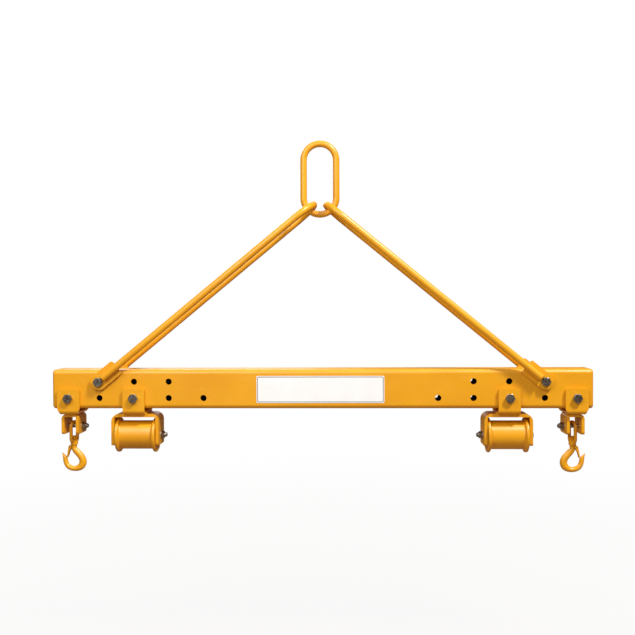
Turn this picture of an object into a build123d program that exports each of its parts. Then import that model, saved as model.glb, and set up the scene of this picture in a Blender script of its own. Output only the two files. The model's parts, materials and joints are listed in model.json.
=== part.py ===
from build123d import *
from collections import namedtuple
from math import cos, hypot, radians, sin
import os

os.makedirs("parts", exist_ok=True)

# A hanging spreader beam: a box beam carried by two hairpin legs from an oblong master link, with
# a sling roller and a swivel hook hung near each end. Millimetres. X runs along the beam, Z is up,
# and the origin is the seat of the crane hook, at the inner top of the master link.
# Heights are given above the underside of the beam and turned into Z by level().

# Beam
beam_length = 1540
beam_height = 112
beam_depth = 90
beam_wall = 6
beam_corner = 12
end_cap_thickness = 8
end_cap_rounding = 7
hole_radius = 9
lower_row = 30.5
upper_row = 77.5
lower_holes = (334, 434, 534, 634, 722)
upper_holes = (434, 534, 634)
label_length = 364
label_height = 77
label_corner = 4
label_thickness = 0.6
label_level = 55

# Master link and legs
seat_level = 750
link_wire = 19
link_length = 222
link_width = 113
leg_rod = 20
leg_bolt_x = 634
leg_apex_x = 18.2
link_clearance = 0.35
lug_thickness = 8
lug_width = 46
lug_length = 68
lug_corner = 6
lug_gap = 1
rod_end_gap = 19

# Saddles, stirrups and rollers
roller_x = 534
hanger_x = 722
saddle_plate = 8
saddle_gap = 1
saddle_top = 57
saddle_base = -16.3
roller_saddle_width = 62
hanger_saddle_width = 64
hanger_taper = 8
bend_radius = 4
stirrup_depth = 76
stirrup_corner = 8
strap_width = 137
strap_thickness = 9
strap_bend = 22
strap_bottom = -107.5
axle_level = -80.5
drum_diameter = 82.5
drum_wall = 4
flange_diameter = 100
flange_thickness = 9
flange_face_gap = 1.5
flange_fillet = 5
rim_rounding = 3
hub_length = 18
bearing_bore = 12
bearing_outer = 32
bearing_width = 10
inner_race = 2.9
outer_race = 1.9
spacer_wall = 2
ball_diameter = 4.7
ball_count = 7
ball_seat = 0.15
running_fit = 0.05

# Hanger, bow and hook
clevis_width = 50
clevis_thickness = 8.5
clevis_bend = 15
clevis_bottom = -75
clevis_pin_level = -54.5
bow_bar = 9.5
bow_spacing = 29
bow_yaw = 20
bow_lower_centre = -90.5
boss_diameter = 21
boss_top = -95
boss_bottom = -109.5
shank_diameter = 12
neck_diameter = 15.4
neck_bottom = -119
thread_depth = 2
swivel_nut_height = 10
swivel_nut_flats = 13
part_gap = 0.3
latch_pin_x = 10.7
latch_pin_level = -116
latch_pin_diameter = 3
latch_lug_radius = 3
latch_lug_half = 2
latch_eye = 4.5
latch_sheet = 1.2
latch_width = 16
latch_tip_half = 0.9
latch_pin_overhang = 1
latch_tip = (19.9, -147.3)
spring_wire = 0.8
spring_radius = 2.4
spring_turns = 3.5
spring_pitch = 0.85
spring_legs = (5, 8)

Fastener = namedtuple("Fastener", "thread flats head nut washer washer_thickness")
M16 = Fastener(16, 24, 10, 15, 30, 3)
M12 = Fastener(12, 18, 7.5, 11, 24, 2.5)
thread_end = 4
thread_bevel = 1.2
head_bevel = 0.6
nut_hex_share = 0.72
nut_collar_inset = 1.5
nut_collar_rounding = 1
hole_slack = 0.5

sides = {"left": -1, "right": 1}


def level(height):
    """Z of a height above the underside of the beam."""
    return height - seat_level


def save(part, name):
    part.label = name
    export_step(part, f"parts/{name}.step")


def bore(x, z, radius, plane, reach):
    """Cuts a round hole through the part being built, both ways from the plane."""
    with BuildSketch(plane) as hole:
        with Locations((x, z)):
            Circle(radius)
    extrude(hole.sketch, amount=reach, both=True, mode=Mode.SUBTRACT)


# ---------------------------------------------------------------- fasteners


def hex_block(plane, flats, height):
    """A hexagon standing on the plane, its corners chamfered at the far end."""
    corner = flats / 2 / cos(radians(30))
    profile_plane = Plane(plane.origin, x_dir=plane.x_dir, z_dir=-plane.y_dir)
    bevel = (corner - flats / 2) * head_bevel
    with BuildPart() as block:
        with BuildSketch(plane):
            RegularPolygon(flats / 2, 6, major_radius=False)
        extrude(amount=height)
        with BuildSketch(profile_plane):
            with BuildLine():
                Polyline(
                    (0, 0), (corner, 0), (corner, height - bevel),
                    (flats / 2, height), (0, height), close=True,
                )
            make_face()
        revolve(axis=Axis(plane.origin, plane.z_dir), mode=Mode.INTERSECT)
    return block.part


def hex_bolt(plane, size, length):
    """A hexagon bolt whose head stands on the plane and whose shank runs back through it."""
    head = hex_block(plane, size.flats, size.head)
    with BuildPart() as bolt:
        add(head)
        with BuildSketch(plane):
            Circle(size.thread / 2)
        extrude(amount=-length)
        tip = faces().filter_by(GeomType.PLANE).sort_by(Axis(plane.origin, plane.z_dir))[0]
        chamfer(tip.edges(), thread_bevel)
    return bolt.part


def lock_nut(plane, size):
    """A hexagon nut standing on the plane, with the round collar of a locking nut."""
    hex_height = size.nut * nut_hex_share
    block = hex_block(plane, size.flats, hex_height)
    with BuildPart() as nut:
        add(block)
        with BuildSketch(plane.offset(hex_height)):
            Circle(size.flats / 2 - nut_collar_inset)
        extrude(amount=size.nut - hex_height)
        collar = faces().filter_by(GeomType.PLANE).sort_by(Axis(plane.origin, plane.z_dir))[-1]
        fillet(collar.edges(), nut_collar_rounding)
        with BuildSketch(plane):
            Circle(size.thread / 2 + running_fit)
        extrude(amount=size.nut, mode=Mode.SUBTRACT)
    return nut.part


def washer(plane, size):
    with BuildPart() as disc:
        with BuildSketch(plane):
            Circle(size.washer / 2)
            Circle(size.thread / 2 + hole_slack, mode=Mode.SUBTRACT)
        extrude(amount=size.washer_thickness)
    return disc.part


def bolt_stack(front, back, size):
    """Bolt, washer and nut that clamp everything between two outward-facing planes."""
    span = (back.origin - front.origin).length
    under_nut = back.offset(size.washer_thickness)
    shank = span + size.washer_thickness + size.nut + thread_end
    return hex_bolt(front, size, shank), washer(back, size), lock_nut(under_nut, size)


def group(*solids):
    with BuildPart() as pieces:
        add(solids)
    return pieces.part


# ---------------------------------------------------------------- beam


def beam_section(plane, inset):
    """The rounded box outline of the beam, or of its inside when inset by the wall."""
    with BuildSketch(plane) as outline:
        with Locations((0, level(beam_height / 2))):
            RectangleRounded(beam_depth - 2 * inset, beam_height - 2 * inset, beam_corner - inset)
    return outline.sketch


def make_beam():
    tube_length = beam_length - 2 * end_cap_thickness
    with BuildPart() as beam:
        extrude(beam_section(Plane.YZ, 0), amount=tube_length / 2, both=True)
        extrude(beam_section(Plane.YZ, beam_wall), amount=tube_length / 2, both=True, mode=Mode.SUBTRACT)
        with BuildSketch(Plane.XZ):
            with Locations([(s * x, level(lower_row)) for x in lower_holes for s in (-1, 1)]):
                Circle(hole_radius)
            with Locations([(s * x, level(upper_row)) for x in upper_holes for s in (-1, 1)]):
                Circle(hole_radius)
        extrude(amount=beam_depth, both=True, mode=Mode.SUBTRACT)
    return beam.part


def make_end_cap(side):
    face = Plane.YZ.offset(side * (beam_length / 2 - end_cap_thickness))
    with BuildPart() as cap:
        extrude(beam_section(face, 0), amount=side * end_cap_thickness)
        outer_face = faces().filter_by(Axis.X).sort_by(Axis.X)[0 if side < 0 else -1]
        fillet(outer_face.edges(), end_cap_rounding)
    return cap.part


def make_label():
    with BuildPart() as label:
        with BuildSketch(Plane.XZ.offset(beam_depth / 2)):
            with Locations((0, level(label_level))):
                RectangleRounded(label_length, label_height, label_corner)
        extrude(amount=label_thickness)
    return label.part


# ---------------------------------------------------------------- master link and legs

link_radius = (link_width - link_wire) / 2
link_lower_centre = seat_level + link_wire - link_length + link_width / 2


def make_master_link():
    upper = level(seat_level + link_wire - link_width / 2)
    lower = level(link_lower_centre)
    with BuildPart() as link:
        with BuildLine(Plane.XZ) as loop:
            Line((-link_radius, lower), (-link_radius, upper))
            ThreePointArc((-link_radius, upper), (0, upper + link_radius), (link_radius, upper))
            Line((link_radius, upper), (link_radius, lower))
            ThreePointArc((link_radius, lower), (0, lower - link_radius), (-link_radius, lower))
        with BuildSketch(Plane(loop.line @ 0, z_dir=loop.line % 0)):
            Circle(link_wire / 2)
        sweep()
    return link.part


strand_y = beam_depth / 2 + lug_gap + lug_thickness + leg_rod / 2
apex_reach = link_radius - (leg_rod + link_wire) / 2 - link_clearance
apex_level = link_lower_centre - (apex_reach ** 2 - leg_apex_x ** 2) ** 0.5
leg_run = leg_bolt_x - leg_apex_x
leg_rise = apex_level - upper_row
leg_length = hypot(leg_run, leg_rise)


def leg_plane(side, y=0.0):
    """Plane at the leg's bolt whose local X runs up the leg and whose normal is along Y."""
    up_the_leg = (-side * leg_run, 0, leg_rise)
    return Plane((side * leg_bolt_x, y, level(upper_row)), x_dir=up_the_leg, z_dir=(0, -1, 0))


def make_leg_rod(side):
    """A hairpin: one strand at the front of the beam, one at the back, joined by a round bend."""
    at_bolt = leg_plane(side)
    hairpin = Plane(at_bolt.origin, x_dir=at_bolt.x_dir, z_dir=at_bolt.y_dir)
    bend_start = leg_length - strand_y
    with BuildPart() as rod:
        with BuildLine(hairpin) as path:
            Line((rod_end_gap, -strand_y), (bend_start, -strand_y))
            ThreePointArc((bend_start, -strand_y), (leg_length, 0), (bend_start, strand_y))
            Line((bend_start, strand_y), (rod_end_gap, strand_y))
        with BuildSketch(Plane(path.line @ 0, z_dir=path.line % 0)):
            Circle(leg_rod / 2)
        sweep()
    return rod.part


def make_leg_lugs(side):
    inner_face = beam_depth / 2 + lug_gap
    with BuildPart() as lugs:
        for y, outward in ((-inner_face, 1), (inner_face, -1)):
            with BuildSketch(leg_plane(side, y)):
                Circle(lug_width / 2)
                with Locations((lug_length / 2, 0)):
                    Rectangle(lug_length, lug_width)
                Circle(M16.thread / 2 + hole_slack, mode=Mode.SUBTRACT)
            extrude(amount=outward * lug_thickness)
        upper_end = edges().filter_by(Axis.Y).group_by(Axis.Z)[-1]
        fillet(upper_end, lug_corner)
    return lugs.part


def make_leg_fasteners(side):
    outer_face = beam_depth / 2 + lug_gap + lug_thickness
    at = (side * leg_bolt_x, level(upper_row))
    front = Plane((at[0], -outer_face, at[1]), x_dir=(1, 0, 0), z_dir=(0, -1, 0))
    back = Plane((at[0], outer_face, at[1]), x_dir=(1, 0, 0), z_dir=(0, 1, 0))
    return bolt_stack(front, back, M16)


# ---------------------------------------------------------------- saddles and stirrups


def make_saddle(x, width, taper):
    """A plate bent to a U that hangs under the beam from one bolt. The taper narrows its base."""
    outer_y = beam_depth / 2 + saddle_gap + saddle_plate
    floor = level(saddle_base + saddle_plate)
    with BuildPart() as saddle:
        with BuildSketch(Plane.YZ.offset(x - width / 2)):
            with Locations((0, level((saddle_top + saddle_base) / 2))):
                Rectangle(2 * outer_y, saddle_top - saddle_base)
            with Locations((0, (level(saddle_top) + floor) / 2)):
                Rectangle(2 * (outer_y - saddle_plate), level(saddle_top) - floor, mode=Mode.SUBTRACT)
            rows = vertices().group_by(Axis.Y)
            fillet(rows[0], bend_radius + saddle_plate)
            fillet(rows[1], bend_radius)
        extrude(amount=width)
        bore(x, level(lower_row), M16.thread / 2 + hole_slack, Plane.XZ, beam_depth)
        fillet(edges().filter_by(Axis.Y).group_by(Axis.Z)[-1], bend_radius)
        if taper:
            base = level(saddle_base)
            for s in (-1, 1):
                with BuildSketch(Plane.XZ):
                    edge_x = x + s * width / 2
                    with BuildLine():
                        Polyline(
                            (edge_x, level(0)), (edge_x - s * taper, base),
                            (edge_x + s, base - 1), (edge_x + s, level(0)), close=True,
                        )
                    make_face()
                extrude(amount=beam_depth, both=True, mode=Mode.SUBTRACT)
    return saddle.part


def make_stirrup(x, width, thickness, bend, bottom, pin_level):
    """A flat bar bent to an upside-down U, with a pin hole across its two legs."""
    top = level(saddle_base)
    low = level(bottom)
    inner_width = width - 2 * thickness
    with BuildPart() as stirrup:
        with BuildSketch(Plane.XZ.offset(-stirrup_depth / 2)):
            with Locations((x, (top + low) / 2)):
                Rectangle(width, top - low)
            with Locations((x, (top - thickness + low) / 2)):
                Rectangle(inner_width, top - thickness - low, mode=Mode.SUBTRACT)
            rows = vertices().group_by(Axis.Y)
            fillet(rows[-1], bend)
            fillet(rows[-2], bend - thickness)
        extrude(amount=stirrup_depth)
        fillet(edges().filter_by(Axis.X).group_by(Axis.Z)[0], stirrup_corner)
        bore(0, level(pin_level), M12.thread / 2 + hole_slack, Plane.YZ.offset(x), width)
    return stirrup.part


def saddle_fasteners(x):
    outer_y = beam_depth / 2 + saddle_gap + saddle_plate
    front = Plane((x, -outer_y, level(lower_row)), x_dir=(1, 0, 0), z_dir=(0, -1, 0))
    back = Plane((x, outer_y, level(lower_row)), x_dir=(1, 0, 0), z_dir=(0, 1, 0))
    return bolt_stack(front, back, M16)


def pin_fasteners(x, width, height, side):
    """Cross bolt of a stirrup: head on the outboard leg, nut on the leg nearer mid beam."""
    outboard = Plane((x + side * width / 2, 0, level(height)), x_dir=(0, 0, 1), z_dir=(side, 0, 0))
    inboard = Plane((x - side * width / 2, 0, level(height)), x_dir=(0, 0, 1), z_dir=(-side, 0, 0))
    return bolt_stack(outboard, inboard, M12)


# ---------------------------------------------------------------- sling rollers

leg_inner_x = strap_width / 2 - strap_thickness
flange_outer_x = leg_inner_x - flange_face_gap
flange_inner_x = flange_outer_x - flange_thickness
drum_land = 2
drum_half = flange_inner_x - flange_fillet - drum_land
hub_inner_x = flange_outer_x - hub_length
bearing_inner_x = flange_outer_x - bearing_width
hub_wall = 5
shoulder = 2.5


def ring(x, start, end, outer, inner):
    """A plain ring about the roller's axis, between two distances from the roller's centre."""
    with BuildPart() as tube:
        with BuildSketch(Plane.YZ.offset(x + start)):
            with Locations((0, level(axle_level))):
                Circle(outer)
                Circle(inner, mode=Mode.SUBTRACT)
        extrude(amount=end - start)
    return tube.part


def make_drum(x):
    outer = drum_diameter / 2
    return ring(x, -drum_half, drum_half, outer, outer - drum_wall)


def make_flange(x, s):
    """One turned end of the roller: rim, filleted neck that meets the drum, and bearing hub."""
    neck = drum_diameter / 2
    rim = flange_diameter / 2
    seat = bearing_outer / 2
    profile = Plane((x, 0, level(axle_level)), x_dir=(s, 0, 0), z_dir=(0, -s, 0))
    with BuildPart() as flange:
        with BuildSketch(profile):
            with BuildLine():
                Polyline(
                    (drum_half, neck - drum_wall), (drum_half, neck), (flange_inner_x, neck),
                    (flange_inner_x, rim), (flange_outer_x, rim), (flange_outer_x, seat),
                    (bearing_inner_x, seat), (bearing_inner_x, seat - shoulder),
                    (hub_inner_x, seat - shoulder), (hub_inner_x, seat + hub_wall),
                    (flange_inner_x, seat + hub_wall), (flange_inner_x, neck - drum_wall), close=True,
                )
            make_face()
            fillet(vertices().sort_by_distance((flange_inner_x, neck))[0], flange_fillet)
            fillet(vertices().group_by(Axis.Y)[-1], rim_rounding)
        revolve(axis=Axis((x, 0, level(axle_level)), (1, 0, 0)))
    return flange.part


def mirrored_rings(x, start, end, outer, inner):
    return ring(x, start, end, outer, inner), ring(x, -end, -start, outer, inner)


def make_outer_races(x):
    """Outer races of both ball bearings, with their rings of balls."""
    outer = bearing_outer / 2
    races = mirrored_rings(x, bearing_inner_x, flange_outer_x, outer, outer - outer_race)
    ball_circle = outer - outer_race - ball_diameter / 2 + ball_seat
    middle = (bearing_inner_x + flange_outer_x) / 2
    with BuildPart() as bearings:
        add(races)
        for s in (-1, 1):
            with Locations(Plane((x + s * middle, 0, level(axle_level)), z_dir=(1, 0, 0))):
                with PolarLocations(ball_circle, ball_count):
                    Sphere(ball_diameter / 2)
    return bearings.part


def make_inner_races(x):
    outer = bearing_bore / 2 + inner_race
    bore_radius = bearing_bore / 2 + running_fit
    return group(*mirrored_rings(x, bearing_inner_x, flange_outer_x, outer, bore_radius))


def make_spacers(x):
    """The long tube between the bearings and the thin ring between each bearing and its leg."""
    bore_radius = bearing_bore / 2 + running_fit
    outer = bearing_bore / 2 + spacer_wall
    long_tube = ring(x, -bearing_inner_x, bearing_inner_x, outer, bore_radius)
    return group(long_tube, *mirrored_rings(x, flange_outer_x, leg_inner_x, outer, bore_radius))


# ---------------------------------------------------------------- swivel hooks


def make_bow(x, side):
    """A round bar bent to a long ring about the clevis bolt, with a swivel boss at its foot.

    The ring is turned a little about its own height, so its front bar stands outboard."""
    half = bow_spacing / 2
    top_centre = level(clevis_pin_level + M12.thread / 2 + part_gap + bow_bar / 2 - half)
    low_centre = level(bow_lower_centre)
    yaw = radians(bow_yaw)
    across = Vector(side * sin(yaw), -cos(yaw), 0)
    upright = Plane((x, 0, 0), x_dir=across, z_dir=across.cross(Vector(0, 0, 1)))
    with BuildPart() as bow:
        with BuildLine(upright) as loop:
            Line((-half, low_centre), (-half, top_centre))
            ThreePointArc((-half, top_centre), (0, top_centre + half), (half, top_centre))
            Line((half, top_centre), (half, low_centre))
            ThreePointArc((half, low_centre), (0, low_centre - half), (-half, low_centre))
        with BuildSketch(Plane(loop.line @ 0, z_dir=loop.line % 0)):
            Circle(bow_bar / 2)
        sweep()
        foot = Plane((x, 0, level(boss_bottom)))
        with BuildSketch(foot):
            Circle(boss_diameter / 2)
        extrude(amount=boss_top - boss_bottom)
        with BuildSketch(foot):
            Circle(boss_diameter / 2)
        extrude(amount=-bow_bar, mode=Mode.SUBTRACT)
        with BuildSketch(foot):
            Circle(shank_diameter / 2 + running_fit)
        extrude(amount=boss_top - boss_bottom, mode=Mode.SUBTRACT)
    return bow.part


def make_swivel_nut(x):
    """The nut on the hook's shank, inside the bow, that holds the hook and lets it turn."""
    base = Plane((x, 0, level(boss_top + part_gap)))
    block = hex_block(base, swivel_nut_flats, swivel_nut_height)
    with BuildPart() as nut:
        add(block)
        with BuildSketch(base):
            Circle(shank_diameter / 2 - thread_depth)
        extrude(amount=swivel_nut_height, mode=Mode.SUBTRACT)
    return nut.part


# Sections of the hook from its neck, round the bowl, to its tip: the point on the inner side, the
# point on the outer side, each as distance outboard of the swivel and height, and the thickness.
hook_sections = (
    ((7.7, -119), (-7.7, -119), 15.4),
    ((4.5, -130.5), (-14.5, -125), 16.5),
    ((-3.5, -140.5), (-24, -134.5), 17.5),
    ((-11, -149.5), (-32, -146), 18),
    ((-14.8, -159), (-35.8, -160), 18),
    ((-10, -169), (-28, -179.5), 18),
    ((2, -172.8), (0.5, -187.8), 17),
    ((13.8, -167.3), (23, -179), 15),
    ((19.2, -156), (33, -157.5), 13),
    ((22, -146), (34.2, -145), 11),
    ((28.8, -139.2), (35.6, -138.2), 7),
    ((34.4, -134.2), (36.6, -134), 3),
)


def make_hook(x, side):
    """A forged hook lofted through its sections, with its shank and the lug of the latch pin."""
    with BuildPart() as hook:
        for inner, outer, thickness in hook_sections:
            width = hypot(outer[0] - inner[0], outer[1] - inner[1])
            across = Vector(side * (outer[0] - inner[0]), 0, outer[1] - inner[1])
            middle = (x + side * (inner[0] + outer[0]) / 2, 0, level((inner[1] + outer[1]) / 2))
            with BuildSketch(Plane(middle, x_dir=across, z_dir=across.cross(Vector(0, side, 0)))):
                Ellipse(width / 2, thickness / 2)
        loft()
        with BuildSketch(Plane((x, 0, level(neck_bottom)))):
            Circle(neck_diameter / 2)
        extrude(amount=boss_bottom - part_gap - neck_bottom)
        with BuildSketch(Plane((x, 0, level(neck_bottom)))):
            Circle(shank_diameter / 2)
        extrude(amount=boss_top - neck_bottom)
        with BuildSketch(Plane((x, 0, level(boss_top)))):
            Circle(shank_diameter / 2 - thread_depth)
        extrude(amount=part_gap + swivel_nut_height + 1)
        with BuildSketch(Plane.XZ):
            with Locations((x + side * latch_pin_x, level(latch_pin_level))):
                Circle(latch_lug_radius)
            with Locations((x + side * latch_pin_x / 2, level(latch_pin_level))):
                Rectangle(latch_pin_x, 2 * latch_lug_radius)
        extrude(amount=latch_lug_half, both=True)
        bore(x + side * latch_pin_x, level(latch_pin_level), latch_pin_diameter / 2, Plane.XZ, 20)
    return hook.part


def make_latch_pin(x, side):
    with BuildPart() as pin:
        with BuildSketch(Plane.XZ):
            with Locations((x + side * latch_pin_x, level(latch_pin_level))):
                Circle(latch_pin_diameter / 2)
        extrude(amount=latch_width / 2 + latch_pin_overhang, both=True)
    return pin.part


def make_latch(x, side):
    """Sheet metal gate: a web along its outboard edge and two ears that turn on the pin."""
    run = Vector(side * (latch_tip[0] - latch_pin_x), 0, latch_tip[1] - latch_pin_level)
    reach = run.length
    gate = Plane((x + side * latch_pin_x, 0, level(latch_pin_level)), x_dir=run, z_dir=(0, -1, 0))
    web = side * (latch_eye - latch_sheet)
    web_at_tip = side * (latch_tip_half - latch_sheet)
    with BuildPart() as latch:
        with BuildSketch(gate):
            Circle(latch_eye)
            with BuildLine():
                Polyline(
                    (0, side * latch_eye), (reach, side * latch_tip_half), (reach, -side * latch_tip_half),
                    (reach / 2, -side * latch_tip_half), (0, -side * latch_eye), close=True,
                )
            make_face()
        extrude(amount=latch_width / 2, both=True)
        with BuildSketch(gate):
            with BuildLine():
                Polyline(
                    (-reach, web), (0, web), (reach, web_at_tip),
                    (reach, -side * reach), (-reach, -side * reach), close=True,
                )
            make_face()
        extrude(amount=latch_width / 2 - latch_sheet, both=True, mode=Mode.SUBTRACT)
        with BuildSketch(gate):
            Circle(latch_pin_diameter / 2 + running_fit)
        extrude(amount=latch_width, both=True, mode=Mode.SUBTRACT)
    return latch.part


def make_latch_spring(x, side):
    """Torsion spring beside the lug: a coil about the pin and two legs that push the gate shut."""
    start_y = latch_lug_half + spring_wire / 2 + part_gap
    start = (x - latch_pin_x, -start_y, level(latch_pin_level))
    coil_plane = Plane(start, x_dir=(1, 0, 0), z_dir=(0, -1, 0))
    coil = coil_plane.location * Helix(spring_pitch, spring_pitch * spring_turns, spring_radius)
    with BuildPart() as spring:
        with BuildSketch(Plane(coil @ 0, z_dir=coil % 0)):
            Circle(spring_wire / 2)
        sweep(path=coil, is_frenet=True)
        for end, outward, leg in zip((0, 1), (-1, 1), spring_legs):
            with BuildSketch(Plane(coil @ end, z_dir=(coil % end) * outward)):
                Circle(spring_wire / 2)
            extrude(amount=leg)
        if side > 0:
            mirror(about=Plane.YZ.offset(x), mode=Mode.REPLACE)
    return spring.part


# ---------------------------------------------------------------- the whole object

save(make_beam(), "beam_tube")
save(group(make_end_cap(-1), make_end_cap(1)), "end_caps")
save(make_label(), "name_label")
save(make_master_link(), "master_link")

for name, side in sides.items():
    leg_bolt, leg_washer, leg_nut = make_leg_fasteners(side)
    save(make_leg_rod(side), f"{name}_leg_rod")
    save(make_leg_lugs(side), f"{name}_leg_lugs")
    save(leg_bolt, f"{name}_leg_bolt")
    save(leg_washer, f"{name}_leg_washer")
    save(leg_nut, f"{name}_leg_nut")

    x = side * roller_x
    saddle_bolt, saddle_washer, saddle_nut = saddle_fasteners(x)
    axle, axle_washer, axle_nut = pin_fasteners(x, strap_width, axle_level, side)
    save(make_saddle(x, roller_saddle_width, 0), f"{name}_roller_saddle")
    save(make_stirrup(x, strap_width, strap_thickness, strap_bend, strap_bottom, axle_level),
         f"{name}_roller_strap")
    save(saddle_bolt, f"{name}_roller_saddle_bolt")
    save(axle, f"{name}_roller_axle_bolt")
    save(group(saddle_washer, axle_washer), f"{name}_roller_washers")
    save(group(saddle_nut, axle_nut), f"{name}_roller_nuts")
    save(make_drum(x), f"{name}_roller_drum")
    save(group(make_flange(x, -1), make_flange(x, 1)), f"{name}_roller_flanges")
    save(make_outer_races(x), f"{name}_bearing_outer_races")
    save(make_inner_races(x), f"{name}_bearing_inner_races")
    save(make_spacers(x), f"{name}_roller_spacers")

    x = side * hanger_x
    saddle_bolt, saddle_washer, saddle_nut = saddle_fasteners(x)
    clevis_bolt, clevis_washer, clevis_nut = pin_fasteners(x, clevis_width, clevis_pin_level, side)
    save(make_saddle(x, hanger_saddle_width, hanger_taper), f"{name}_hanger_saddle")
    save(make_stirrup(x, clevis_width, clevis_thickness, clevis_bend, clevis_bottom, clevis_pin_level),
         f"{name}_hanger_clevis")
    save(saddle_bolt, f"{name}_hanger_saddle_bolt")
    save(clevis_bolt, f"{name}_hanger_clevis_bolt")
    save(group(saddle_washer, clevis_washer), f"{name}_hanger_washers")
    save(group(saddle_nut, clevis_nut), f"{name}_hanger_nuts")
    save(make_bow(x, side), f"{name}_hook_bow")
    save(make_swivel_nut(x), f"{name}_swivel_nut")
    save(make_hook(x, side), f"{name}_hook_body")
    save(make_latch_pin(x, side), f"{name}_latch_pin")
    save(make_latch(x, side), f"{name}_latch")
    save(make_latch_spring(x, side), f"{name}_latch_spring")
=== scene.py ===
import json
from math import cos, pi, radians, sin

import bpy
from mathutils import Euler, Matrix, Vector


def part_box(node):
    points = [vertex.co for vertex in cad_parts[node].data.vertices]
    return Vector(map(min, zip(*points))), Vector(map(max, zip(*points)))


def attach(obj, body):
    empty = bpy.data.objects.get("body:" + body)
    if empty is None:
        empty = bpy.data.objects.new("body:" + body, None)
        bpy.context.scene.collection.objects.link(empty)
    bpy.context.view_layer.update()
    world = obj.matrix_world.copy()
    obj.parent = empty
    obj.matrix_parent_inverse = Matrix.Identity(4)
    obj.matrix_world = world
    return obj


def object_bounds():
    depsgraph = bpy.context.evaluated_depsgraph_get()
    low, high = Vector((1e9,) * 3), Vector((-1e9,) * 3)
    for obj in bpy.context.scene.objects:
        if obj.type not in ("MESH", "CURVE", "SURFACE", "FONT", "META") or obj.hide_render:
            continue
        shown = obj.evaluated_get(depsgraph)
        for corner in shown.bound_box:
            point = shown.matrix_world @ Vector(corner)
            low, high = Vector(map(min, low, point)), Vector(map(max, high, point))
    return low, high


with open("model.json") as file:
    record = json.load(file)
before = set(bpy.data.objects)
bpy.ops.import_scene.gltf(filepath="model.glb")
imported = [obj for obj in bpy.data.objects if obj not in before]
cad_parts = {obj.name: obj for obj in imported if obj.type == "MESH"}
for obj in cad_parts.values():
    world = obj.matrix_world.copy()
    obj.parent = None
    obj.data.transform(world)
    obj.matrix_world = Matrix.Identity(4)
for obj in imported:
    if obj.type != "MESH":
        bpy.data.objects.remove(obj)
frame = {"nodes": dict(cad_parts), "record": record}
cad_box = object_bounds()
nodes = frame["nodes"]
record = frame["record"]

# Metres, in the row frame: X along the beam, Z up, the crane hook's seat at the origin.
SIDES = {"left": -1, "right": 1}
YELLOW = "yellow_paint"
ZINC = "zinc_fasteners"
LABEL = "label_film"

TUBE_WALL = 0.006
ROD_RADIUS = 0.010
tube_low, tube_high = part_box("beam_tube")
tube_middle = (tube_low.z + tube_high.z) / 2


# ---------------------------------------------------------------- materials


class Shader:
    """A small helper that adds linked nodes to one material."""

    def __init__(self, name):
        self.material = bpy.data.materials.new(name)
        self.material.use_nodes = True
        self.tree = self.material.node_tree
        self.surface = self.tree.nodes["Principled BSDF"]
        place = self.tree.nodes.new("ShaderNodeTexCoord")
        self.place = place.outputs["Object"]

    def link(self, output, target):
        self.tree.links.new(output, target)

    def noise(self, scale, detail=3.0, stretch=None):
        """Noise in the object's own space: scale is in repeats per metre."""
        source = self.place
        if stretch:
            mapping = self.tree.nodes.new("ShaderNodeMapping")
            mapping.inputs["Scale"].default_value = stretch
            self.link(self.place, mapping.inputs["Vector"])
            source = mapping.outputs["Vector"]
        node = self.tree.nodes.new("ShaderNodeTexNoise")
        node.inputs["Scale"].default_value = scale
        node.inputs["Detail"].default_value = detail
        self.link(source, node.inputs["Vector"])
        return node.outputs["Fac"]

    def spread(self, value, low, high, start=0.3, end=0.7):
        """Maps a value from start..end, the usual range of noise, to low..high."""
        node = self.tree.nodes.new("ShaderNodeMapRange")
        node.inputs["From Min"].default_value = start
        node.inputs["From Max"].default_value = end
        node.inputs["To Min"].default_value = low
        node.inputs["To Max"].default_value = high
        self.link(value, node.inputs["Value"])
        return node.outputs["Result"]

    def math(self, operation, *values):
        node = self.tree.nodes.new("ShaderNodeMath")
        node.operation = operation
        for socket, value in zip(node.inputs, values):
            if isinstance(value, (int, float)):
                socket.default_value = value
            else:
                self.link(value, socket)
        return node.outputs["Value"]

    def mix(self, factor, first, second):
        """A blend of two colours, each a tuple or another node's output."""
        node = self.tree.nodes.new("ShaderNodeMix")
        node.data_type = "RGBA"
        self.link(factor, node.inputs["Factor"])
        for socket, colour in ((node.inputs[6], first), (node.inputs[7], second)):
            if isinstance(colour, tuple):
                socket.default_value = (*colour, 1)
            else:
                self.link(colour, socket)
        return node.outputs[2]

    def axis(self, letter):
        split = self.tree.nodes.new("ShaderNodeSeparateXYZ")
        self.link(self.place, split.inputs["Vector"])
        return split.outputs[letter]

    def bump(self, height, strength, depth, under=None):
        """Surface relief of the given depth; under is finer relief that it lies on."""
        node = self.tree.nodes.new("ShaderNodeBump")
        node.inputs["Strength"].default_value = strength
        node.inputs["Distance"].default_value = depth
        self.link(height, node.inputs["Height"])
        if under:
            self.link(under, node.inputs["Normal"])
        return node.outputs["Normal"]

    def finish(self, colour, roughness, normal, metallic=0.0, coat=0.0):
        self.link(colour, self.surface.inputs["Base Color"])
        self.link(roughness, self.surface.inputs["Roughness"])
        self.link(normal, self.surface.inputs["Normal"])
        self.surface.inputs["Metallic"].default_value = metallic
        self.surface.inputs["Coat Weight"].default_value = coat
        self.surface.inputs["Coat Roughness"].default_value = 0.2
        return self.material


PAINT_DEEP = (0.74, 0.315, 0.005)
PAINT_LIGHT = (0.82, 0.375, 0.008)
PAINT_DUST = (0.80, 0.39, 0.022)
# Unpainted steel inside the tube, darkened near-black as painted shade of the closed hollow.
BARE_AND_SHADED_INSIDE = (0.035, 0.026, 0.024)
GRIME = (0.10, 0.085, 0.07)


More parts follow.
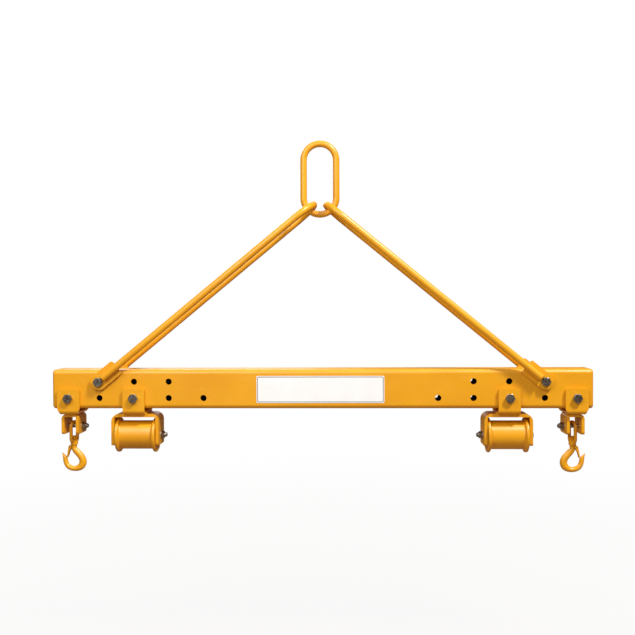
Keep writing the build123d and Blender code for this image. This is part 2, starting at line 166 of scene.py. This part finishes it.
def paint(name, inside=None):
    """Golden sprayed enamel: slow drifts of colour, orange peel, and fine scuffs that dull it.

    inside is (half depth, half height, middle height) of a hollow that stays unpainted and is
    coloured near-black as painted shade."""
    s = Shader(name)
    drift = s.spread(s.noise(7.0, 4.0), 0.0, 1.0)
    colour = s.mix(drift, PAINT_DEEP, PAINT_LIGHT)
    scuffs = s.spread(s.noise(30.0, 5.0, stretch=(1.0, 1.0, 2.0)), 0.0, 0.30, 0.60, 0.74)
    colour = s.mix(scuffs, colour, PAINT_DUST)
    # Painted shade: the tube's hollow is coloured near-black over its unpainted inside.
    if inside:
        half_depth, half_height, middle = inside
        near_y = s.math("LESS_THAN", s.math("ABSOLUTE", s.axis("Y")), half_depth)
        offset = s.math("ABSOLUTE", s.math("SUBTRACT", s.axis("Z"), middle))
        shaded_hollow = s.math("MULTIPLY", near_y, s.math("LESS_THAN", offset, half_height))
        colour = s.mix(shaded_hollow, colour, BARE_AND_SHADED_INSIDE)
    scuffed = s.math("MULTIPLY", scuffs, 0.3)
    rough = s.math("ADD", s.spread(s.noise(40.0, 5.0), 0.30, 0.42), scuffed)
    peel = s.bump(s.noise(420.0, 2.0), 0.10, 0.00004)
    waves = s.bump(s.noise(55.0, 2.0), 0.10, 0.0005, under=peel)
    return s.finish(colour, rough, waves, coat=0.12)


def metal(name, bright, dark, rough_low, rough_high):
    """Plated or ground steel: cloudy grey with patches of grime and a fine grain."""
    s = Shader(name)
    clouds = s.spread(s.noise(160.0, 5.0), 0.0, 1.0)
    colour = s.mix(clouds, dark, bright)
    grime = s.spread(s.noise(420.0, 6.0), 0.0, 0.5, 0.55, 0.75)
    colour = s.mix(grime, colour, GRIME)
    rough = s.spread(s.noise(260.0, 6.0), rough_low, rough_high)
    grain = s.bump(s.noise(1800.0, 3.0), 0.12, 0.0002)
    return s.finish(colour, rough, grain, metallic=1.0)


def film(name, tint):
    """Printed plastic film with a faint ripple where it lies on the paint."""
    s = Shader(name)
    shade = tuple(t * 0.95 for t in tint)
    colour = s.mix(s.spread(s.noise(25.0, 4.0), 0.0, 1.0), shade, tint)
    rough = s.spread(s.noise(90.0, 4.0), 0.30, 0.42)
    ripple = s.bump(s.noise(35.0, 2.0), 0.08, 0.0006)
    return s.finish(colour, rough, ripple, coat=0.15)


def tube_hollow():
    """The inside of the beam's tube, coloured near-black as painted shade, reaching a little way
    into its walls to take in their skin.
    """
    into_wall = 0.0005
    half_depth = tube_high.y - TUBE_WALL + into_wall
    half_height = (tube_high.z - tube_low.z) / 2 - TUBE_WALL + into_wall
    return half_depth, half_height, tube_middle


enamel = paint("golden_enamel")
looks = {
    YELLOW: enamel,
    ZINC: metal("zinc_plate", (0.52, 0.50, 0.46), (0.16, 0.145, 0.125), 0.24, 0.40),
    "bearing_steel": metal("ground_steel", (0.66, 0.66, 0.68), (0.52, 0.52, 0.54), 0.16, 0.26),
    "spring_steel": metal("spring_wire", (0.42, 0.42, 0.44), (0.28, 0.28, 0.30), 0.24, 0.36),
    LABEL: film("label_white", (0.90, 0.90, 0.89)),
}
# The tube's enamel paints shade near-black into the hollow inside the tube.
tube_enamel_shaded_inside = paint("golden_enamel_tube", inside=tube_hollow())
border_grey = film("label_grey", (0.24, 0.24, 0.25))

slot_of = {entry["node"]: entry["material_slot"] for entry in record["subparts"]}
for node_name, node in nodes.items():
    material = tube_enamel_shaded_inside if node_name == "beam_tube" else looks[slot_of[node_name]]
    if not node.material_slots:
        node.data.materials.append(material)
    for socket in node.material_slots:
        socket.material = material


# ---------------------------------------------------------------- pieces made of mesh


def mesh_piece(name, points, faces, body, material, smooth=True):
    """A new piece from points and faces, which rides on a body and takes its finish from a slot."""
    mesh = bpy.data.meshes.new(name)
    mesh.from_pydata([tuple(p) for p in points], [], faces)
    mesh.update()
    for polygon in mesh.polygons:
        polygon.use_smooth = smooth
    mesh.materials.append(material)
    piece = bpy.data.objects.new(name, mesh)
    bpy.context.scene.collection.objects.link(piece)
    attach(piece, body)
    return piece


def cross_axes(along):
    """Two directions square to a direction and to each other."""
    guide = Vector((0, 0, 1)) if abs(along.z) < 0.9 else Vector((1, 0, 0))
    side = along.cross(guide).normalized()
    return side, side.cross(along)


def tube_mesh(path, radii, around=12):
    """Points and faces of a closed tube along a path, with a radius at each of its points."""
    points, faces = [], []
    for i, centre in enumerate(path):
        ahead = path[min(i + 1, len(path) - 1)] - path[max(i - 1, 0)]
        ahead.normalize()
        side, up = cross_axes(ahead)
        for k in range(around):
            turn = 2 * pi * k / around
            points.append(centre + (side * cos(turn) + up * sin(turn)) * radii[i])
    rings = len(path)
    for i in range(rings - 1):
        for k in range(around):
            n = (k + 1) % around
            a, b = i * around, (i + 1) * around
            faces.append((a + k, b + k, b + n, a + n))
    faces.append(tuple(range(around)))
    last = (rings - 1) * around
    faces.append(tuple(last + k for k in reversed(range(around))))
    return points, faces


def resample(corners, step):
    """Evenly spaced points along straight runs between the corners."""
    path = []
    for start, end in zip(corners, corners[1:]):
        count = max(2, int((end - start).length / step))
        path += [start.lerp(end, i / count) for i in range(count)]
    path.append(corners[-1])
    return path


def weld(name, corners, radius, body):
    """A weld bead: a thin ridge with overlapping ripples, tapered at both ends."""
    ripple_length = 0.0032
    steps_per_ripple = 4
    end_size, growth_per_step = 0.45, 0.14
    trough, ripple_rise = 0.88, 0.16
    path = resample(corners, ripple_length / steps_per_ripple)
    radii = []
    for i in range(len(path)):
        phase = (i % steps_per_ripple) / steps_per_ripple
        from_end = min(i, len(path) - 1 - i)
        taper = min(1.0, end_size + growth_per_step * from_end)
        radii.append(radius * taper * (trough + ripple_rise * phase))
    points, faces = tube_mesh(path, radii)
    return mesh_piece(name, points, faces, body, enamel)


def thread(name, start, along, radius, pitch, length, body):
    """The helical ridge of a screw thread on the free end of a bolt."""
    crest, root = 0.00035, -0.0001
    half_width = 0.42
    steps_per_turn = 36
    run_in, run_out = 4, 9
    side, up = cross_axes(along)
    points, faces = [], []
    steps = int(steps_per_turn * length / pitch)
    for i in range(steps + 1):
        turn = 2 * pi * i / steps_per_turn
        out = side * cos(turn) + up * sin(turn)
        middle = start + along * (length * i / steps)
        fade = min(1.0, (steps - i) / run_out, (i + 1) / run_in)
        for shift, rise in ((-half_width, root), (0.0, crest * fade), (half_width, root)):
            points.append(middle + out * (radius + rise) + along * (shift * pitch))
    for i in range(steps):
        a, b = i * 3, (i + 1) * 3
        faces += [(a, b, b + 1, a + 1), (a + 1, b + 1, b + 2, a + 2), (a + 2, b + 2, b, a)]
    last = steps * 3
    faces += [(0, 1, 2), (last + 2, last + 1, last)]
    return mesh_piece(name, points, faces, body, looks[ZINC])


# ---------------------------------------------------------------- threads

# Radius and pitch of each size of bolt.
M16 = (0.008, 0.002)
M12 = (0.006, 0.00175)


def bolt_thread(name, node_name, along, size, body):
    """Thread on the bolt's free end; along points out of the nut, and is a row axis."""
    free_end, tip_bevel, nut_gap = 0.004, 0.0012, 0.0006
    radius, pitch = size
    low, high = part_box(node_name)
    axis = max(range(3), key=lambda i: abs(along[i]))
    tip = (low + high) / 2
    tip[axis] = high[axis] if along[axis] > 0 else low[axis]
    start = tip - along * (free_end - nut_gap)
    thread(name, start, along, radius, pitch, free_end - tip_bevel - nut_gap, body)


def bolt_threads(s, side):
    """Bolts through the beam show their threads at its back, and the other two show them inboard."""
    back = Vector((0, 1, 0))
    inboard = Vector((-side, 0, 0))
    bracket, hanger = f"{s}_roller_bracket", f"{s}_hanger"
    bolt_thread(f"{s}_leg_bolt_thread", f"{s}_leg_bolt", back, M16, f"{s}_leg")
    bolt_thread(f"{s}_roller_saddle_thread", f"{s}_roller_saddle_bolt", back, M16, bracket)
    bolt_thread(f"{s}_hanger_saddle_thread", f"{s}_hanger_saddle_bolt", back, M16, hanger)
    bolt_thread(f"{s}_axle_thread", f"{s}_roller_axle_bolt", inboard, M12, bracket)
    bolt_thread(f"{s}_clevis_thread", f"{s}_hanger_clevis_bolt", inboard, M12, hanger)


# ---------------------------------------------------------------- welds

BRACKET_BEAD = 0.0030
SEAM_INSET = 0.0012


def leg_welds(s, side):
    """The rod's end is welded to each lug along both flanks and round its cut end."""
    bead, flank = 0.0034, 0.0075
    cut_end, shoulder, lug_end = 0.0165, 0.0195, 0.066
    rod_low, rod_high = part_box(f"{s}_leg_rod")
    bolt_low, bolt_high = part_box(f"{s}_leg_bolt")
    strand_y = rod_high.y - ROD_RADIUS
    bolt = Vector(((bolt_low.x + bolt_high.x) / 2, 0, (bolt_low.z + bolt_high.z) / 2))
    apex_x = (rod_low.x if side > 0 else rod_high.x) + side * ROD_RADIUS
    apex = Vector((apex_x, 0, rod_high.z - ROD_RADIUS))
    up_leg = (apex - bolt).normalized()
    across = Vector((up_leg.z, 0, -up_leg.x))
    outline = (
        (lug_end, flank),
        (shoulder, flank),
        (cut_end, flank / 2),
        (cut_end, -flank / 2),
        (shoulder, -flank),
        (lug_end, -flank),
    )
    for face, y in (("front", -1), ("back", 1)):
        lug_face = Vector((0, y * (strand_y - ROD_RADIUS + bead * 0.3), 0))
        corners = [bolt + lug_face + up_leg * up + across * over for up, over in outline]
        weld(f"{s}_{face}_leg_weld", corners, bead, f"{s}_leg")


def strap_welds(s, strap, body, half_length):
    """A strap is welded up against its saddle along the front and the back."""
    low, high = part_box(f"{s}_{strap}")
    middle = (low.x + high.x) / 2
    z = high.z - SEAM_INSET
    for face, y in (("front", low.y - SEAM_INSET), ("back", high.y + SEAM_INSET)):
        corners = [Vector((middle - half_length, y, z)), Vector((middle + half_length, y, z))]
        weld(f"{s}_{strap}_{face}_weld", corners, BRACKET_BEAD, f"{s}_{body}")


def saddle_welds(s):
    """The roller's saddle is welded down onto its strap along both side edges."""
    end_gap = 0.002
    saddle_low, saddle_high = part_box(f"{s}_roller_saddle")
    strap_low, strap_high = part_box(f"{s}_roller_strap")
    z = strap_high.z + SEAM_INSET
    for edge, x in (("left", saddle_low.x - SEAM_INSET), ("right", saddle_high.x + SEAM_INSET)):
        corners = [Vector((x, strap_low.y + end_gap, z)), Vector((x, strap_high.y - end_gap, z))]
        weld(f"{s}_saddle_{edge}_weld", corners, BRACKET_BEAD, f"{s}_roller_bracket")


# ---------------------------------------------------------------- label border


def rounded_outline(half_x, half_z, corner, steps=8):
    """Points round a rounded rectangle, as (x, z) from its middle."""
    outline = []
    for quarter, (sx, sz) in enumerate(((1, 1), (-1, 1), (-1, -1), (1, -1))):
        for i in range(steps + 1):
            turn = (quarter + i / steps) * pi / 2
            x = sx * (half_x - corner) + corner * cos(turn)
            z = sz * (half_z - corner) + corner * sin(turn)
            outline.append((x, z))
    return outline


def label_border():
    """A thin printed line that runs round the label just inside its edge."""
    low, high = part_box("name_label")
    middle = (low + high) / 2
    half_x, half_z = (high.x - low.x) / 2, (high.z - low.z) / 2
    inset, line, corner = 0.0020, 0.0022, 0.0040
    rise = 0.00015
    outer = rounded_outline(half_x - inset, half_z - inset, corner)
    inner = rounded_outline(half_x - inset - line, half_z - inset - line, corner - line * 0.6)
    count = len(outer)
    points = []
    for y in (low.y - rise, low.y + rise):
        for loop in (outer, inner):
            points += [(middle.x + x, y, middle.z + z) for x, z in loop]
    faces = []
    for i in range(count):
        n = (i + 1) % count
        faces.append((i, n, count + n, count + i))
        faces.append((2 * count + i, 3 * count + i, 3 * count + n, 2 * count + n))
        faces.append((i, 2 * count + i, 2 * count + n, n))
        faces.append((count + i, count + n, 3 * count + n, 3 * count + i))
    mesh_piece("label_border", points, faces, "beam", border_grey, smooth=False)


for side_name, side in SIDES.items():
    bolt_threads(side_name, side)
for side_name, side in SIDES.items():
    leg_welds(side_name, side)
for side_name in SIDES:
    strap_welds(side_name, "roller_strap", "roller_bracket", half_length=0.029)
    strap_welds(side_name, "hanger_clevis", "hanger", half_length=0.011)
    saddle_welds(side_name)
label_border()


# ---------------------------------------------------------------- floor, light and camera


def make_floor():
    """A wide pale floor that brightens away from the object.

    Only the camera sees it pale: other rays meet a dark, warm floor."""
    below_object, radius = 0.55, 30
    glow_near, glow_far = 0.93, 1.0
    near, far = 0.6, 3.5
    height = cad_box[0][2] - below_object
    bpy.ops.mesh.primitive_circle_add(
        vertices=96, radius=radius, fill_type="NGON", location=(0, 0, height)
    )
    floor = bpy.context.object
    floor.name = "studio_floor"
    s = Shader("pale_floor")
    distance = s.tree.nodes.new("ShaderNodeVectorMath")
    distance.operation = "LENGTH"
    s.link(s.place, distance.inputs[0])
    pale = s.spread(distance.outputs["Value"], glow_near, glow_far, near, far)
    ray = s.tree.nodes.new("ShaderNodeLightPath")
    fade = s.math("MULTIPLY", pale, ray.outputs["Is Camera Ray"])
    s.surface.inputs["Base Color"].default_value = (0.26, 0.18, 0.12, 1)
    s.surface.inputs["Roughness"].default_value = 0.8
    s.surface.inputs["Specular IOR Level"].default_value = 0.1
    glow = s.tree.nodes.new("ShaderNodeEmission")
    glow.inputs["Strength"].default_value = 1.0
    blend = s.tree.nodes.new("ShaderNodeMixShader")
    s.link(fade, blend.inputs["Fac"])
    s.link(s.surface.outputs["BSDF"], blend.inputs[1])
    s.link(glow.outputs["Emission"], blend.inputs[2])
    s.link(blend.outputs["Shader"], s.tree.nodes["Material Output"].inputs["Surface"])
    # The glow is for the camera alone, so it is left out when surfaces look for light.
    s.material.cycles.emission_sampling = "NONE"
    floor.data.materials.append(s.material)


def make_world():
    """White behind the object, and a soft overhead light that is dim at the horizon."""
    horizon, overhead = 0.02, 0.42
    overhead_from = 0.9
    world = bpy.data.worlds.new("studio")
    bpy.context.scene.world = world
    world.use_nodes = True
    tree = world.node_tree
    sky = tree.nodes["Background"]
    place = tree.nodes.new("ShaderNodeTexCoord")
    split = tree.nodes.new("ShaderNodeSeparateXYZ")
    tree.links.new(place.outputs["Generated"], split.inputs["Vector"])
    ramp = tree.nodes.new("ShaderNodeMapRange")
    ramp.inputs["From Min"].default_value = 0.0
    ramp.inputs["From Max"].default_value = overhead_from
    ramp.inputs["To Min"].default_value = horizon
    ramp.inputs["To Max"].default_value = overhead
    tree.links.new(split.outputs["Z"], ramp.inputs["Value"])
    ray = tree.nodes.new("ShaderNodeLightPath")
    seen = tree.nodes.new("ShaderNodeMix")
    tree.links.new(ray.outputs["Is Camera Ray"], seen.inputs["Factor"])
    tree.links.new(ramp.outputs["Result"], seen.inputs[2])
    seen.inputs[3].default_value = 1.0
    sky.inputs["Color"].default_value = (1, 1, 1, 1)
    tree.links.new(seen.outputs[0], sky.inputs["Strength"])


def soft_light(name, place, size, power):
    """A square soft box that points at the middle of the beam."""
    lamp = bpy.data.lights.new(name, "AREA")
    lamp.shape = "SQUARE"
    lamp.size = size
    lamp.energy = power
    holder = bpy.data.objects.new(name, lamp)
    holder.location = place
    aim = Vector((0, 0, tube_middle)) - Vector(place)
    holder.rotation_euler = aim.to_track_quat("-Z", "Y").to_euler()
    bpy.context.scene.collection.objects.link(holder)


def make_camera():
    """Nearly square on to the beam, a little above its middle and a little to the right."""
    camera = bpy.data.cameras.new("camera")
    camera.sensor_width = 36
    camera.lens = 48.94
    holder = bpy.data.objects.new("camera", camera)
    holder.location = (0.0754, -2.495, -0.4487)
    pitch_down, turn_left, roll = radians(0.973), radians(1.925), radians(-0.238)
    look = Euler((pi / 2 - pitch_down, 0, turn_left), "XYZ").to_matrix()
    holder.rotation_euler = (look @ Euler((0, 0, roll)).to_matrix()).to_euler()
    bpy.context.scene.collection.objects.link(holder)
    bpy.context.scene.camera = holder


make_floor()
make_world()
soft_light("key", (2.6, -2.3, 3.6), size=0.8, power=320)
soft_light("fill", (-1.1, -1.6, 0.8), size=1.2, power=20)
soft_light("front", (-0.3, -1.9, 0.2), size=1.6, power=16)
soft_light("back", (-0.9, 3.0, 1.1), size=1.8, power=34)
make_camera()
bpy.context.scene.view_settings.view_transform = "Standard"
